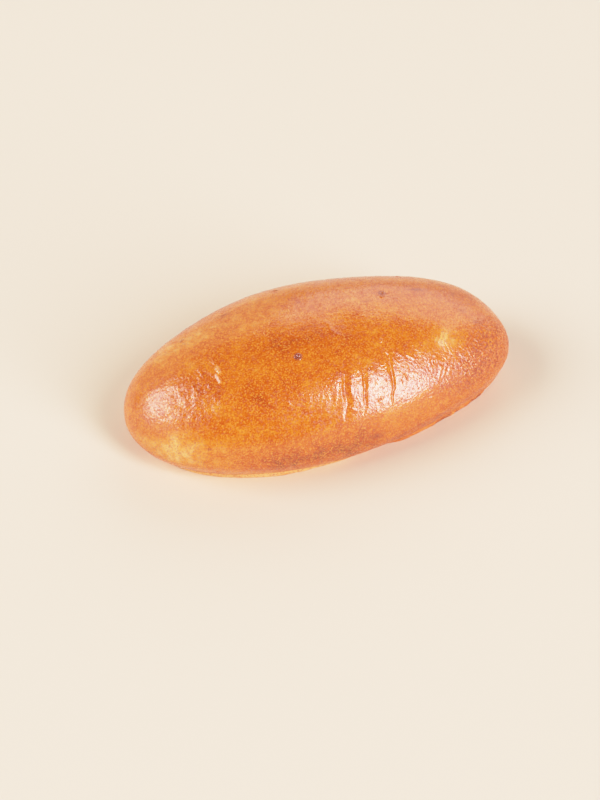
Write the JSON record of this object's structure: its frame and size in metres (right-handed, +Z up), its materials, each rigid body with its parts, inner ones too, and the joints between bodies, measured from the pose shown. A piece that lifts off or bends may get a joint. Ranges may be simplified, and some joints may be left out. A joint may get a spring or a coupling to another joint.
{
  "type": "filled bun",
  "caption": "Shut oval baked bun with a cabbage filling: a smooth browned crust over a domed body that narrows to one end and rests on a flat base",
  "frame": {"origin": "middle of the flat base, on the surface the bun rests on", "axes": "+Z up, X along the bun's length with the narrower end at +X, -Y the side the picture shows with the shallow cross folds"},
  "size_m": [0.1194, 0.061, 0.0332],
  "materials": {
    "crust": "egg-washed browned bread crust, satin with soft highlights"
  },
  "bodies": {
    "root": {"bun": "crust"}
  },
  "joints": []
}
